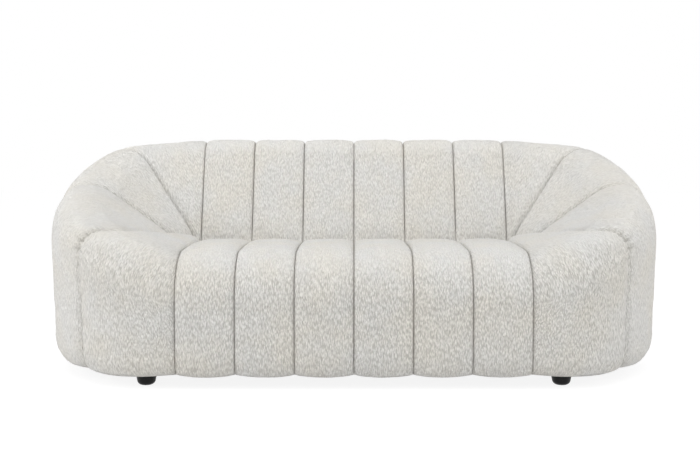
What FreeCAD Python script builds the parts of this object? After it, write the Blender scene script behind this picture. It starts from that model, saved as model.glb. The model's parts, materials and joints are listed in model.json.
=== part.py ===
import FreeCAD, Part
import math
import os

from FreeCAD import Vector

# Channel tufted tub sofa, in millimetres. The origin is on the floor at the middle of
# the plan, with +X to the sitter's left hand side (right in a front view), +Y to the
# back and +Z up. Left and right in the names are as seen from the front.

# Overall form
overall_width = 2150.0
overall_depth = 900.0
corner_length = 475.0
widest_line_y = 80.0
corner_start_gap = 34.2
seam_inset = 10.0
back_crown = 12.0
seat_crown = 15.0
back_fullness = 4.0
seat_fullness = 3.0

# Seat
seat_seam_height = 427.0
seat_roll_radius = 145.0
back_depth_at_seat = 290.0
seat_pad = 55.0
front_pad = 30.0

# Back and arms, each the height of the seam line over the crest
back_seam_height = 787.0
corner_seam_height = 762.0
arm_seam_height = 636.0
arm_front_rise = 64.0
back_slope = 69.0
inner_pad = 45.0
crest_pad = 30.0
outer_pad = 28.0
tuck_depth = 45.0

# Underside
body_bottom = 45.0
round_top = 110.0
front_round = 28.0

# Gaps between neighbouring soft pieces, and between soft pieces and the frame
seam_gap = 0.5
crease_gap = 1.2
frame_gap = 0.3
board_gap = 0.5
bend_gap = 0.9
end_bend_gap = 9.0
joint_gap = 0.5

# Frame
board = 5.0
plate = 18.0
rail_depth = 38.0
rail_height = 60.0
base_plate_bottom = 46.0
seat_plate_top = 292.0
base_rim = 110.0
strap = 3.0
felt = 3.0

# Feet
foot_beyond_seam = 107.2
front_foot_inset = 94.0
rear_foot_inset = 106.0
foot_top_radius = 36.0
foot_bottom_radius = 27.0
foot_edge = 5.0
bolt_radius = 4.0
bolt_length = 34.0

half_width = overall_width / 2.0
half_depth = overall_depth / 2.0
straight_half = half_width - corner_length
front_reach = half_depth + widest_line_y
rear_reach = half_depth - widest_line_y
last_seam_x = straight_half - corner_start_gap
channel_pitch = last_seam_x / 3.0
lean = 1.0 / math.tan(math.radians(back_slope))
front_seam_y = seam_inset - half_depth
rear_seam_y = half_depth - seam_inset
crease_y = rear_seam_y - back_depth_at_seat
foot_x = last_seam_x + foot_beyond_seam
front_foot_y = front_seam_y + front_foot_inset
rear_foot_y = rear_seam_y - rear_foot_inset


def on_outline(angle, inset):
    """Plan point of the outline at an angle of its corner ellipse, moved inwards."""
    reach = rear_reach if angle >= 0.0 else front_reach
    a = math.radians(angle)
    x = straight_half + corner_length * math.cos(a)
    y = widest_line_y + reach * math.sin(a)
    nx = math.cos(a) / corner_length
    ny = math.sin(a) / reach
    n = math.hypot(nx, ny)
    return (x - inset * nx / n, y - inset * ny / n)


def middle(p, q):
    return tuple((a + b) / 2.0 for a, b in zip(p, q))


# The line where the seat meets the back and arms, from the last straight seam forwards
crease_a = (last_seam_x, crease_y)
crease_b = (last_seam_x + 19.2, crease_y)
crease_c = (last_seam_x + 100.2, crease_y - 71.0)
crease_s = (last_seam_x + 173.2, front_seam_y + 190.0)
crease_height_a = seat_seam_height + 3.0
arm_front_height = seat_seam_height + arm_front_rise
crease_height_c = seat_seam_height + 23.0
crease_height_s = seat_seam_height + 60.0
tuck_height = crease_height_a - tuck_depth

# Each shape line over the back and arms is a vertical profile: foot point of the inner
# face, its height, slope, crest radius, crest height, shoulder height, bottom rounding
# and how much the outer face draws in towards the floor.
PROFILES = {
    "back": (
        (last_seam_x, rear_seam_y), crease_a,
        (crease_height_a, back_slope, 75.0, back_seam_height, back_seam_height - 147.0, 35.0, 0.0),
    ),
    "b": (
        on_outline(39.6, seam_inset), crease_b,
        (crease_height_a, 54.0, 130.0, corner_seam_height, corner_seam_height - 162.0, 40.0, 8.0),
    ),
    "c": (
        on_outline(-5.4, seam_inset), crease_c,
        (crease_height_c, 37.5, 183.0, arm_seam_height, arm_seam_height - 181.0, 45.0, 16.0),
    ),
    "s": (
        on_outline(-50.6, seam_inset), crease_s,
        (crease_height_s, 3.5, 1500.0, arm_front_height, arm_front_height - 60.0, 32.0, 4.0),
    ),
}


def between(first, second, angle, form=None):
    """Middle line of a channel, halfway between its two seams."""
    o = on_outline(angle, back_crown)
    i = middle(PROFILES[first][1], PROFILES[second][1])
    halfway = middle(PROFILES[first][2], PROFILES[second][2])
    if form:
        halfway = (halfway[0],) + form + halfway[3:]
    return (o, i, halfway)


PROFILES["back_b"] = between("back", "b", 70.0)
PROFILES["b_c"] = between("b", "c", 17.0)
PROFILES["c_s"] = between("c", "s", -28.0, (24.0, 190.0))

# Stations along a profile: tuck, crease, inner face, crest, shoulder, outer face, bottom
INNER_STEPS = 3
CREST_STEPS = 4
SHOULDER_STEPS = 5
OUTER_STEPS = 2
BOTTOM_STEPS = 3


def stations(profile):
    """Points of a profile as q (inwards), z, outward normal, pad thickness and crown share."""
    o, i, (zb, slope, radius, crest, shoulder, rounding, draw) = profile
    qb = math.hypot(i[0] - o[0], i[1] - o[1])
    a = math.radians(slope)
    z_turn = crest - radius * (1.0 - math.cos(a))
    q_turn = qb - (z_turn - zb) / math.tan(a)
    q_crest = q_turn - radius * math.sin(a)
    rows = []
    rows.append((qb + (zb - tuck_height) * lean, tuck_height, (1.0, 0.0), inner_pad, 0.03))
    rows.append((qb, zb, (math.sin(a), math.cos(a)), inner_pad, 0.03))
    for k in range(1, INNER_STEPS):
        t = k / INNER_STEPS
        q = qb + (q_turn - qb) * t
        z = zb + (z_turn - zb) * t
        rows.append((q, z, (math.sin(a), math.cos(a)), inner_pad, (0.75, 1.0)[min(k, 2) - 1]))
    for k in range(CREST_STEPS):
        t = a * (1.0 - k / CREST_STEPS)
        q = q_crest + radius * math.sin(t)
        z = crest - radius * (1.0 - math.cos(t))
        pad = inner_pad + (crest_pad - inner_pad) * k / CREST_STEPS
        rows.append((q, z, (math.sin(t), math.cos(t)), pad, 1.0))
    drop = crest - shoulder
    for k in range(SHOULDER_STEPS):
        t = math.pi / 2.0 * k / SHOULDER_STEPS
        q = q_crest * (1.0 - math.sin(t))
        z = shoulder + drop * math.cos(t)
        pad = crest_pad + (outer_pad - crest_pad) * k / SHOULDER_STEPS
        rows.append((q, z, (-math.sin(t), math.cos(t)), pad, 1.0))
    for k in range(OUTER_STEPS):
        t = k / OUTER_STEPS
        z = shoulder + (round_top - shoulder) * t
        rows.append((draw * t, z, (-1.0, 0.0), outer_pad, 1.0))
    for k in range(BOTTOM_STEPS + 1):
        t = math.pi / 2.0 * k / BOTTOM_STEPS
        q = draw + rounding * (1.0 - math.cos(t))
        z = round_top - (round_top - body_bottom) * math.sin(t)
        rows.append((q, z, (-1.0, 0.0), outer_pad, 1.0 - 0.5 * k / BOTTOM_STEPS))
    return rows


def direction(profile):
    o, i = profile[0], profile[1]
    d = math.hypot(i[0] - o[0], i[1] - o[1])
    return ((i[0] - o[0]) / d, (i[1] - o[1]) / d)


TUCK = {"b": (0.0, -1.0), "back": (0.0, -1.0)}


def lines(name):
    """Surface points of a profile, outward normals, crown shares and the points behind."""
    profile = PROFILES[name]
    o, i = profile[0], profile[1]
    u = direction(profile)
    front = []
    normals = []
    shares = []
    behind = []
    for k, (q, z, n, pad, share) in enumerate(stations(profile)):
        x = o[0] + u[0] * q
        y = o[1] + u[1] * q
        if k == 0:
            deep = (profile[2][0] - tuck_height) * lean
            w = tuck_direction(name)
            x = i[0] + w[0] * deep
            y = i[1] + w[1] * deep
        out = Vector(u[0] * n[0], u[1] * n[0], n[1])
        base = Vector(x, y, z)
        front.append(base)
        normals.append(out)
        shares.append(share)
        behind.append(base - out * pad)
    return front, normals, shares, behind


def tuck_direction(name):
    """Plan direction in which the inner face runs on below the crease."""
    pairs = {"back_b": ("back", "b"), "b_c": ("b", "c"), "c_s": ("c", "s")}
    if name in pairs:
        first, second = pairs[name]
        w = middle(tuck_direction(first), tuck_direction(second))
        return w
    return TUCK.get(name, direction(PROFILES[name]))


# Shares of the width at which a channel's section has its points, closer at the seams
ACROSS = (0.0, 0.04, 0.14, 0.3, 0.5, 0.7, 0.86, 0.96, 1.0)
ACROSS_BEHIND = (0.0, 0.2, 0.4, 0.6, 0.8, 1.0)


def swell(u, fullness):
    """Crown law over the width: steep at the seams and flatter on top."""
    return (1.0 - abs(2.0 * u - 1.0) ** fullness) ** 0.6


def through(p, m, q, u):
    """Point on the curve through three points, at a share of the way from p to q."""
    return p * ((1.0 - u) * (1.0 - 2.0 * u)) + m * (4.0 * u * (1.0 - u)) + q * (u * (2.0 * u - 1.0))


def flat_faces(a, b, c, d):
    """One flat face through four corners, or two where they don't share a plane."""
    off = (b - a).cross(c - a).dot(d - a)
    if abs(off) < 1e-6 * (b - a).Length * (c - a).Length:
        return [Part.Face(Part.makePolygon([a, b, c, d, a]))]
    if (c - a).Length < (d - b).Length:
        return [Part.Face(Part.makePolygon(t)) for t in ([a, b, c, a], [a, c, d, a])]
    return [Part.Face(Part.makePolygon(t)) for t in ([a, b, d, a], [b, c, d, b])]


def loft_flat(rows, behind):
    """Solid through sections of straight lines, with flat faces from section to section."""
    faces = []
    for k in range(len(rows) - 1):
        for grid in (rows, behind):
            for j in range(len(grid[k]) - 1):
                faces += flat_faces(grid[k][j], grid[k][j + 1], grid[k + 1][j + 1], grid[k + 1][j])
        for j in (0, -1):
            faces += flat_faces(rows[k][j], rows[k + 1][j], behind[k + 1][j], behind[k][j])
    for k in (0, -1):
        ring = rows[k] + behind[k][::-1]
        faces.append(Part.Face(Part.makePolygon(ring + [ring[0]])))
    solid = Part.Solid(Part.makeShell(faces))
    if solid.Volume < 0:
        solid.reverse()
    return solid


def pad_solid(left, mid, right, crown, fullness, bent):
    """Channel from its two seam lines and its middle line, with a crown over its width."""
    rows = []
    behind = []
    for k in range(len(left[0])):
        row = []
        for u in ACROSS:
            base = through(left[0][k], mid[0][k], right[0][k], u)
            out = through(left[1][k], mid[1][k], right[1][k], u)
            out.normalize()
            row.append(base + out * (crown * mid[2][k] * swell(u, fullness)))
        rows.append(row)
        shares = ACROSS_BEHIND if bent else (0.0, 1.0)
        behind.append([through(left[3][k], mid[3][k], right[3][k], u) for u in shares])
    return loft_flat(rows, behind)


def moved(line_set, shift):
    """A line's points and the points behind it, moved sideways."""
    front, normals, shares, behind = line_set
    return ([p + shift for p in front], normals, shares, [p + shift for p in behind])


def at_x(line_set, x):
    front, normals, shares, behind = line_set
    return ([Vector(x, p.y, p.z) for p in front], normals, shares, [Vector(x, p.y, p.z) for p in behind])


def across(name):
    """Horizontal direction square to a seam's plane, from the back seam side to the front."""
    u = direction(PROFILES[name])
    return Vector(-u[1], u[0], 0.0)


def mirrored(shape):
    return shape.mirror(Vector(0, 0, 0), Vector(1, 0, 0))


def ring_channel(first, mid, second):
    """One channel of the fan between two seams of the right-hand corner."""
    left = lines(first)
    right = lines(second)
    centre = lines(mid)
    half = seam_gap / 2.0
    low = len(left[0]) - 1
    side = 1.0 if (centre[0][low] - left[0][low]).dot(across(first)) > 0 else -1.0
    left = moved(left, across(first) * (half * side))
    side = 1.0 if (centre[0][low] - right[0][low]).dot(across(second)) > 0 else -1.0
    right = moved(right, across(second) * (half * side))
    return pad_solid(left, centre, right, back_crown, back_fullness, True)


def back_channel(index):
    """Straight channel of the back, from the tuck over the top to the outer bottom edge."""
    x0 = -last_seam_x + channel_pitch * (index - 1) + seam_gap / 2.0
    x1 = x0 + channel_pitch - seam_gap
    seam = lines("back")
    return pad_solid(
        at_x(seam, x0), at_x(seam, (x0 + x1) / 2.0), at_x(seam, x1), back_crown, back_fullness, False
    )


# Stations along a seat seam, from the rear end over the front edge to the bottom
roll_start_y = front_seam_y + seat_roll_radius
ROLL_STEPS = 4


def seat_stations():
    """Seat seam points as y, z, the direction behind them, thickness and crown share."""
    rows = []
    rear = crease_y - (crease_height_a - seat_seam_height) * lean - crease_gap
    down = math.radians(back_slope)
    rows.append((rear, seat_seam_height, (-math.cos(down), -math.sin(down)), seat_pad, 0.03))
    span = rear - roll_start_y
    for share, crown in ((0.09, 0.55), (0.25, 1.0), (0.47, 1.0), (0.69, 1.0), (0.86, 1.0)):
        rows.append((rear - span * share, seat_seam_height, (0.0, -1.0), seat_pad, crown))
    centre_z = seat_seam_height - seat_roll_radius
    for k in range(ROLL_STEPS + 1):
        t = math.pi / 2.0 * k / ROLL_STEPS
        y = roll_start_y - seat_roll_radius * math.sin(t)
        z = centre_z + seat_roll_radius * math.cos(t)
        pad = seat_pad + (front_pad - seat_pad) * k / ROLL_STEPS
        rows.append((y, z, (math.sin(t), -math.cos(t)), pad, 1.0 - 0.1 * k))
    rows.append((front_seam_y, (centre_z + round_top) / 2.0, (1.0, 0.0), front_pad, 0.6))
    for k in range(BOTTOM_STEPS + 1):
        t = math.pi / 2.0 * k / BOTTOM_STEPS
        y = front_seam_y + front_round * (1.0 - math.cos(t))
        z = round_top - (round_top - body_bottom) * math.sin(t)
        rows.append((y, z, (1.0, 0.0), front_pad, 0.6 - 0.3 * k / BOTTOM_STEPS))
    return rows


def seat_lines(x):
    front = []
    normals = []
    shares = []
    behind = []
    for y, z, into, pad, share in seat_stations():
        base = Vector(x, y, z)
        inward = Vector(0.0, into[0], into[1])
        front.append(base)
        normals.append(inward * -1.0)
        shares.append(share)
        behind.append(base + inward * pad)
    return front, normals, shares, behind


def seat_channel(index):
    """Straight channel of the seat, over the front edge and down to the bottom."""
    x0 = -last_seam_x + channel_pitch * (index - 1) + seam_gap / 2.0
    x1 = x0 + channel_pitch - seam_gap
    centre = seat_lines((x0 + x1) / 2.0)
    return pad_solid(seat_lines(x0), centre, seat_lines(x1), seat_crown, seat_fullness, False)


def blend(p, q, t):
    return p + (q - p) * t


def end_outer_line():
    """Outer edge of the wide end channel: along the crease, then over the arm's front."""
    u = direction(PROFILES["s"])
    c = crease_c
    s = crease_s
    drop_b = Vector(0.0, -lean, -1.0)
    w = direction(PROFILES["c"])
    drop_c = Vector(w[0] * lean, w[1] * lean, -1.0)
    drop_s = Vector(u[0] * lean, u[1] * lean, -1.0)
    point_b = Vector(crease_b[0], crease_b[1], crease_height_a)
    point_c = Vector(c[0], c[1], crease_height_c)
    point_s = Vector(s[0], s[1], crease_height_s)
    front = []
    normals = []
    behind = []
    plan = (
        (point_b, point_c, drop_b, drop_c, 0.0), (point_b, point_c, drop_b, drop_c, 0.5),
        (point_b, point_c, drop_b, drop_c, 1.0), (point_c, point_s, drop_c, drop_s, 0.33),
        (point_c, point_s, drop_c, drop_s, 0.66), (point_c, point_s, drop_c, drop_s, 1.0),
    )
    for p, q, dp, dq, t in plan:
        base = blend(p, q, t)
        down = blend(dp, dq, t)
        level = Vector(down.x, down.y, 0.0)
        level.normalize()
        base = base + level * crease_gap
        front.append(base)
        normals.append(Vector(0, 0, 1))
        behind.append(base + down * seat_pad)
    o = PROFILES["s"][0]
    rows = stations(PROFILES["s"])
    turn = 2 + INNER_STEPS - 1
    crest = turn + CREST_STEPS
    shoulder = crest + SHOULDER_STEPS
    picked = [rows[turn], rows[crest], rows[crest + 2], rows[crest + 4], rows[shoulder]]
    picked = picked + rows[shoulder + 1:]
    side = across("s")
    if side.y > 0:
        side = side * -1.0
    gap = side * (seam_gap / 2.0)
    for k, (q, z, n, pad, share) in enumerate(picked):
        base = Vector(o[0] + u[0] * q, o[1] + u[1] * q, z) + gap
        out = Vector(u[0] * n[0], u[1] * n[0], n[1])
        deep = seat_pad + (front_pad - seat_pad) * min(k, 4) / 4.0
        front.append(base)
        normals.append(out)
        behind.append(base - out * deep)
    return front, normals, behind


# Middle line of the wide end channel: share of the way from the last straight seam to
# the outer edge, and how far it stands ahead of and above the chord between them
end_mid_x = last_seam_x + 182.2
end_mid_y = on_outline(-71.6, 0.0)[1] + 2.0
END_MIDDLE = (
    (0.5, 0.0, 0.0), (0.5, 2.0, 1.0), (0.5, 0.0, -2.0), (0.5, 0.0, -6.0), (0.5, 0.0, -9.0),
    (0.5, -4.0, -7.0), (0.52, -22.0, -2.0), (0.56, -38.0, 2.0), (0.60, -46.0, -4.0),
    (0.62, -47.0, -20.0), (0.64, -46.0, -38.0),
)


def end_channel():
    """Wide channel between the last straight seam and the seam over the arm's front."""
    left = seat_lines(last_seam_x + seam_gap / 2.0)
    right, right_normals, right_back = end_outer_line()
    right_back[0] = right[0] + (left[3][0] - left[0][0])
    centre = []
    normals = []
    centre_back = []
    for k in range(len(right)):
        into = (left[3][k] - left[0][k] + right_back[k] - right[k]) * 0.5
        if k < len(END_MIDDLE):
            share, ahead, rise = END_MIDDLE[k]
            m = blend(left[0][k], right[k], share)
            m = Vector(m.x, m.y + ahead, m.z + rise)
        else:
            z = left[0][k].z
            if k == len(END_MIDDLE):
                z = (centre[k - 1].z + round_top) / 2.0
            m = Vector(end_mid_x, end_mid_y + (left[0][k].y - front_seam_y), z)
        out = (left[1][k] + right_normals[k]) * 0.5
        if k == 0:
            out = left[1][0]
        centre.append(m)
        normals.append(out)
        centre_back.append(m + into)
    right_normals[0] = left[1][0]
    mid = (centre, normals, left[2], centre_back)
    return pad_solid(left, mid, (right, right_normals, left[2], right_back), seat_crown, seat_fullness, True)


def put(name, shape):
    solid = shape
    if solid.ShapeType != "Solid" and len(shape.Solids) == 1:
        solid = shape.Solids[0]
    if not solid.isValid():
        print("not valid", name)
    if solid.Volume < 0:
        solid.reverse()
    solid.exportStep("parts/" + name + ".step")


def pair(name, shape):
    put(name + "_right", shape)
    put(name + "_left", mirrored(shape))


def box(x0, x1, y0, y1, z0, z1):
    return Part.makeBox(x1 - x0, y1 - y0, z1 - z0, Vector(x0, y0, z0))


os.makedirs("parts", exist_ok=True)

# Soft channels of the seat, the back, the corners and the arms
for number in range(1, 7):
    put("seat_channel_%d" % number, seat_channel(number))
    put("back_channel_%d" % number, back_channel(number))
pair("seat_end_channel", end_channel())
pair("back_corner_channel", ring_channel("back", "back_b", "b"))
pair("arm_rear_channel", ring_channel("b", "b_c", "c"))
pair("arm_channel", ring_channel("c", "c_s", "s"))

# Frame. Heights of the plates, and the faces that the boards behind the soft channels keep
base_plate_top = base_plate_bottom + plate
seat_plate_bottom = seat_plate_top - plate
webbing_top = seat_plate_top + 2.0 * strap
felt_top = webbing_top + felt
back_shoulder = PROFILES["back"][2][4]
roll_centre_z = seat_seam_height - seat_roll_radius
back_board_out = rear_seam_y - outer_pad - board_gap
back_board_in = back_board_out - board
front_board_out = front_seam_y + front_pad + board_gap
front_board_in = front_board_out + board
end_middle_top = 322.0
back_height_limit = back_seam_height + 50.0
RING = ("back", "back_b", "b", "b_c", "c", "c_s", "s")


def draw_at(name, z):
    """How far a profile's outer face stands inside its outer point at a height."""
    zb, slope, radius, crest, shoulder, rounding, draw = PROFILES[name][2]
    if z >= round_top:
        return draw * max(0.0, shoulder - z) / (shoulder - round_top)
    s = (round_top - z) / (round_top - body_bottom)
    return draw + rounding * (1.0 - math.sqrt(max(0.0, 1.0 - s * s)))


def outer_point(name, z, inset):
    o = PROFILES[name][0]
    u = direction(PROFILES[name])
    q = draw_at(name, z) + inset
    return Vector(o[0] + u[0] * q, o[1] + u[1] * q, z)


def front_end_point(z, inset):
    """Point on the middle line of the wide end channel, moved inwards."""
    s = max(0.0, (round_top - z) / (round_top - body_bottom))
    ahead = front_round * (1.0 - math.sqrt(max(0.0, 1.0 - s * s)))
    u = direction(PROFILES["s"])
    return Vector(end_mid_x + u[0] * inset / 2.0, end_mid_y + ahead + (u[1] + 1.0) * inset / 2.0, z)


def front_point(z, inset):
    s = max(0.0, (round_top - z) / (round_top - body_bottom))
    ahead = front_round * (1.0 - math.sqrt(max(0.0, 1.0 - s * s)))
    return Vector(last_seam_x, front_seam_y + ahead + inset, z)


def flipped(p):
    return Vector(-p.x, p.y, p.z)


def bend(points):
    """Rows of three points on a curve turned into one row of points along straight lines."""
    row = [points[0]]
    for k in range(0, len(points) - 2, 2):
        for u in ACROSS_BEHIND[1:]:
            row.append(through(points[k], points[k + 1], points[k + 2], u))
    return row


def plan_face(z, inset, front_inset, level):
    """Flat face inside the soft shell, from the outline at height z, drawn at a level."""
    right = bend([outer_point(n, z, inset) for n in RING])
    front = [outer_point("s", z, front_inset + end_bend_gap), front_end_point(z, front_inset + end_bend_gap)]
    right = right + bend(front + [front_point(z, front_inset)])
    right = [Vector(p.x, p.y, level) for p in right]
    ring = right + [flipped(p) for p in right[::-1]]
    return Part.Face(Part.makePolygon(ring + [ring[0]]))


def slab(z, inset, front_inset, low, high):
    return plan_face(z, inset, front_inset, low).extrude(Vector(0, 0, high - low))


def drawn_point(name, z, inset):
    """Outer point on the straight stretch of a profile, also above its shoulder."""
    o = PROFILES[name][0]
    u = direction(PROFILES[name])
    shoulder, draw = PROFILES[name][2][4], PROFILES[name][2][6]
    q = draw * (shoulder - z) / (shoulder - round_top) + inset
    return Vector(o[0] + u[0] * q, o[1] + u[1] * q, z)


def side_board():
    """Board under the outer pads of one corner and arm, from the back to the arm's front."""
    rear_shift = Vector(joint_gap, 0, 0)
    front_shift = across("s")
    if front_shift.y < 0:
        front_shift = front_shift * -1.0
    near = outer_pad + board_gap + bend_gap
    sides = []
    for deep in (near, near + board):
        rows = []
        for z in (round_top, back_shoulder):
            points = [drawn_point(n, z, deep) for n in RING]
            points[0] = points[0] + rear_shift
            points[-1] = points[-1] + front_shift * joint_gap
            rows.append(bend(points))
        sides.append(rows)
    whole = loft_flat(sides[0], sides[1])
    heights = [(half_depth, back_shoulder)]
    for n in ("b", "c", "s"):
        heights.append((PROFILES[n][0][1], PROFILES[n][2][4] - 6.0))
    heights.append((-half_depth, PROFILES["s"][2][4] - 8.0))
    top = [(-half_depth, back_height_limit), (half_depth, back_height_limit)] + heights
    return whole.cut(prism(top, 0.0, overall_width))


def front_end_board():
    """Curved end of the front board, behind the wide end channel."""
    shift = across("s")
    if shift.y > 0:
        shift = shift * -1.0
    s_top = PROFILES["s"][2][4]
    sides = []
    for deep in (front_pad + board_gap, front_pad + board_gap + board):
        rows = []
        for z in (round_top, s_top):
            points = [drawn_point("s", z, deep + end_bend_gap) + shift * joint_gap]
            points.append(front_end_point(round_top, deep + end_bend_gap))
            points.append(front_point(round_top, deep))
            rows.append(bend([Vector(p.x, p.y, z) for p in points]))
        sides.append(rows)
    whole = loft_flat(sides[0], sides[1])
    heights = [
        (0.0, roll_centre_z), (last_seam_x, roll_centre_z - 24.0),
        (end_mid_x, end_middle_top - 44.0), (PROFILES["s"][0][0], s_top - 4.0),
    ]
    top = heights + [(half_width, s_top - 4.0), (half_width, back_height_limit), (0.0, back_height_limit)]
    corners = [Vector(x, -half_depth, z) for x, z in top]
    cutter = Part.Face(Part.makePolygon(corners + [corners[0]])).extrude(Vector(0, overall_depth, 0))
    return whole.cut(cutter)


def prism(points, x0, x1):
    """Polygon in the YZ plane, extruded along X."""
    corners = [Vector(x0, y, z) for y, z in points]
    return Part.Face(Part.makePolygon(corners + [corners[0]])).extrude(Vector(x1 - x0, 0, 0))


def plate_in_plane(name, corners):
    """Plywood plate standing in a seam's plane, from corners given as q and z."""
    o = PROFILES[name][0]
    u = direction(PROFILES[name])
    side = across(name) * (plate / 2.0)
    points = [Vector(o[0] + u[0] * q, o[1] + u[1] * q, z) - side for q, z in corners]
    return Part.Face(Part.makePolygon(points + [points[0]])).extrude(side * 2.0)


# Base plate, seat plate and the webbing between its edges
soft_to_frame = outer_pad + frame_gap
front_to_frame = front_pad + frame_gap
base = slab(body_bottom, soft_to_frame, front_to_frame, base_plate_bottom, base_plate_top)
base_hole = slab(body_bottom, soft_to_frame + base_rim, front_to_frame + base_rim, 0.0, 100.0)
base = base.cut(base_hole)
feet = [(side * foot_x, y) for y in (front_foot_y, rear_foot_y) for side in (-1.0, 1.0)]
for x, y in feet:
    base = base.cut(Part.makeCylinder(bolt_radius, 200.0, Vector(x, y, 0)))
put("base_plate", base)

ledge = board + bend_gap + joint_gap + 0.5
hole_x = last_seam_x + channel_pitch / 2.0
hole_front = front_board_in + 84.0
seat_plate = slab(
    seat_plate_bottom, soft_to_frame + ledge, front_to_frame + ledge, seat_plate_bottom, seat_plate_top
)
seat_plate = seat_plate.cut(box(-hole_x, hole_x, hole_front, crease_y, 0.0, 400.0))
put("seat_plate", seat_plate)

# Upright plates between the base plate and the seat plate
panel_outline = (
    (front_board_in + 13.0, base_plate_top), (front_board_in, round_top), (front_board_in, seat_plate_bottom),
    (back_board_in, seat_plate_bottom), (back_board_in, round_top), (back_board_in - 16.0, base_plate_top),
)
for number in range(1, 4):
    x = 2.0 * channel_pitch * (number - 2)
    put("cross_panel_%d" % number, prism(panel_outline, x - plate / 2.0, x + plate / 2.0))

clear = 14.0
clear_front = clear + end_bend_gap + 5.0
for name, label, reach in (("b", "rear_corner_panel", 260.0), ("c", "side_panel", 320.0),
                           ("s", "front_corner_panel", 210.0)):
    rounding, draw = PROFILES[name][2][5], PROFILES[name][2][6]
    near = draw + outer_pad + (clear if name != "s" else clear_front)
    low = near + rounding
    pair(label, plate_in_plane(name, (
        (low, base_plate_top), (near, round_top), (near, seat_plate_bottom),
        (reach, seat_plate_bottom), (reach, base_plate_top),
    )))

# Ribs of the back. Their front edges hold the webbing, their rear edges the back board
seam, unused, unused, backing = lines("back")
first_flat, last_flat = backing[2], backing[2 + INNER_STEPS - 1]
back_in = Vector(0.0, math.sin(math.radians(back_slope)), -math.cos(math.radians(back_slope)))


def strap_strip(start, end):
    p = blend(first_flat, last_flat, start)
    q = blend(first_flat, last_flat, end)
    r = q + back_in * strap
    s = p + back_in * strap
    return [(p.y, p.z), (q.y, q.z), (r.y, r.z), (s.y, s.z)]


rib_half = last_seam_x - joint_gap
belts = [prism(strap_strip(a, b), -rib_half, rib_half) for a, b in ((0.0, 0.24), (0.38, 0.62), (0.76, 1.0))]
ties = [prism(strap_strip(0.0, 1.0), x - 25.0, x + 25.0) for x in (-2.0 * channel_pitch, 0.0, 2.0 * channel_pitch)]
back_webbing = belts[0]
for piece in belts[1:] + ties:
    back_webbing = back_webbing.fuse(piece)
put("back_webbing", back_webbing.removeSplitter())

rail_z = back_shoulder + 10.0
rail_top = rail_z + rail_height
rail_inner = blend(first_flat, last_flat, (rail_top - first_flat.z) / (last_flat.z - first_flat.z)).y
rail_y = (rail_inner + back_board_in) / 2.0
back_rail = box(
    -rib_half, rib_half, rail_y - rail_depth / 2.0, rail_y + rail_depth / 2.0, rail_z, rail_top
)
put("back_rail", back_rail)
shoulder_row = 2 + INNER_STEPS - 1 + CREST_STEPS + SHOULDER_STEPS
rib_outline = [(p.y, p.z) for p in backing[:shoulder_row + 1]]
rib_outline = rib_outline + [(back_board_in, back_shoulder), (back_board_in, seat_plate_top)]
rib_outline = [(backing[0].y, seat_plate_top)] + rib_outline
rib_places = (-rib_half + plate / 2.0, -channel_pitch, channel_pitch, rib_half - plate / 2.0)
for number, x in enumerate(rib_places, 1):
    rib = prism(rib_outline, x - plate / 2.0, x + plate / 2.0)
    put("back_rib_%d" % number, rib.cut(back_rail).cut(back_webbing))

# Ribs of the corners and arms, in the planes of their seams
for name, label in (("b", "corner_rib"), ("c", "arm_rib"), ("s", "arm_front_rib")):
    o = PROFILES[name][0]
    rows = stations(PROFILES[name])
    corners = []
    for q, z, n, pad, share in rows[1:shoulder_row]:
        corners.append((q - n[0] * (pad + clear), z - n[1] * (pad + clear)))
    corners = [c for c in corners if c[1] > tuck_height - 10.0]
    foot_in = min(corners[0][0], rows[0][0] - inner_pad - clear)
    outer = outer_pad + clear
    corners = [(foot_in, seat_plate_top), (foot_in, min(tuck_height, corners[0][1]) - 5.0)] + corners
    corners = corners + [(outer, rows[shoulder_row][1]), (outer + PROFILES[name][2][6], seat_plate_top)]
    if name == "s":
        outer = outer_pad + clear_front
        top = arm_front_height - seat_pad - clear
        corners = [(foot_in, seat_plate_top), (foot_in, top - 3.0), (outer + 20.0, top)]
        corners = corners + [(outer, top - 25.0), (outer + PROFILES[name][2][6], seat_plate_top)]
    pair(label, plate_in_plane(name, corners))

# Boards behind the outer pads
put("back_board", box(-last_seam_x, last_seam_x, back_board_in, back_board_out, round_top, back_shoulder))
pair("side_board", side_board())
front_board = box(-last_seam_x, last_seam_x, front_board_out, front_board_in, round_top, roll_centre_z)
front_end = front_end_board()
front_board = front_board.fuse([front_end, mirrored(front_end)]).removeSplitter()
put("front_board", front_board)

# Seat webbing, felt and the foam under the seat channels
strap_front = hole_front - 55.0
strap_rear = crease_y + 22.0
webbing = None
for k in range(-4, 5):
    x = k * hole_x / 5.0
    piece = box(x - 30.0, x + 30.0, strap_front, strap_rear, seat_plate_top, seat_plate_top + strap)
    webbing = piece if webbing is None else webbing.fuse(piece)
for share in (0.15, 0.405, 0.66, 0.905):
    y = hole_front + (crease_y - hole_front) * share
    webbing = webbing.fuse(
        box(-hole_x - 28.0, hole_x + 28.0, y - 30.0, y + 30.0, seat_plate_top + strap, webbing_top)
    )
put("seat_webbing", webbing.removeSplitter())
put("deck_felt", box(-last_seam_x - 50.0, last_seam_x + 50.0, strap_front, crease_y - 25.0, webbing_top, felt_top))

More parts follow.
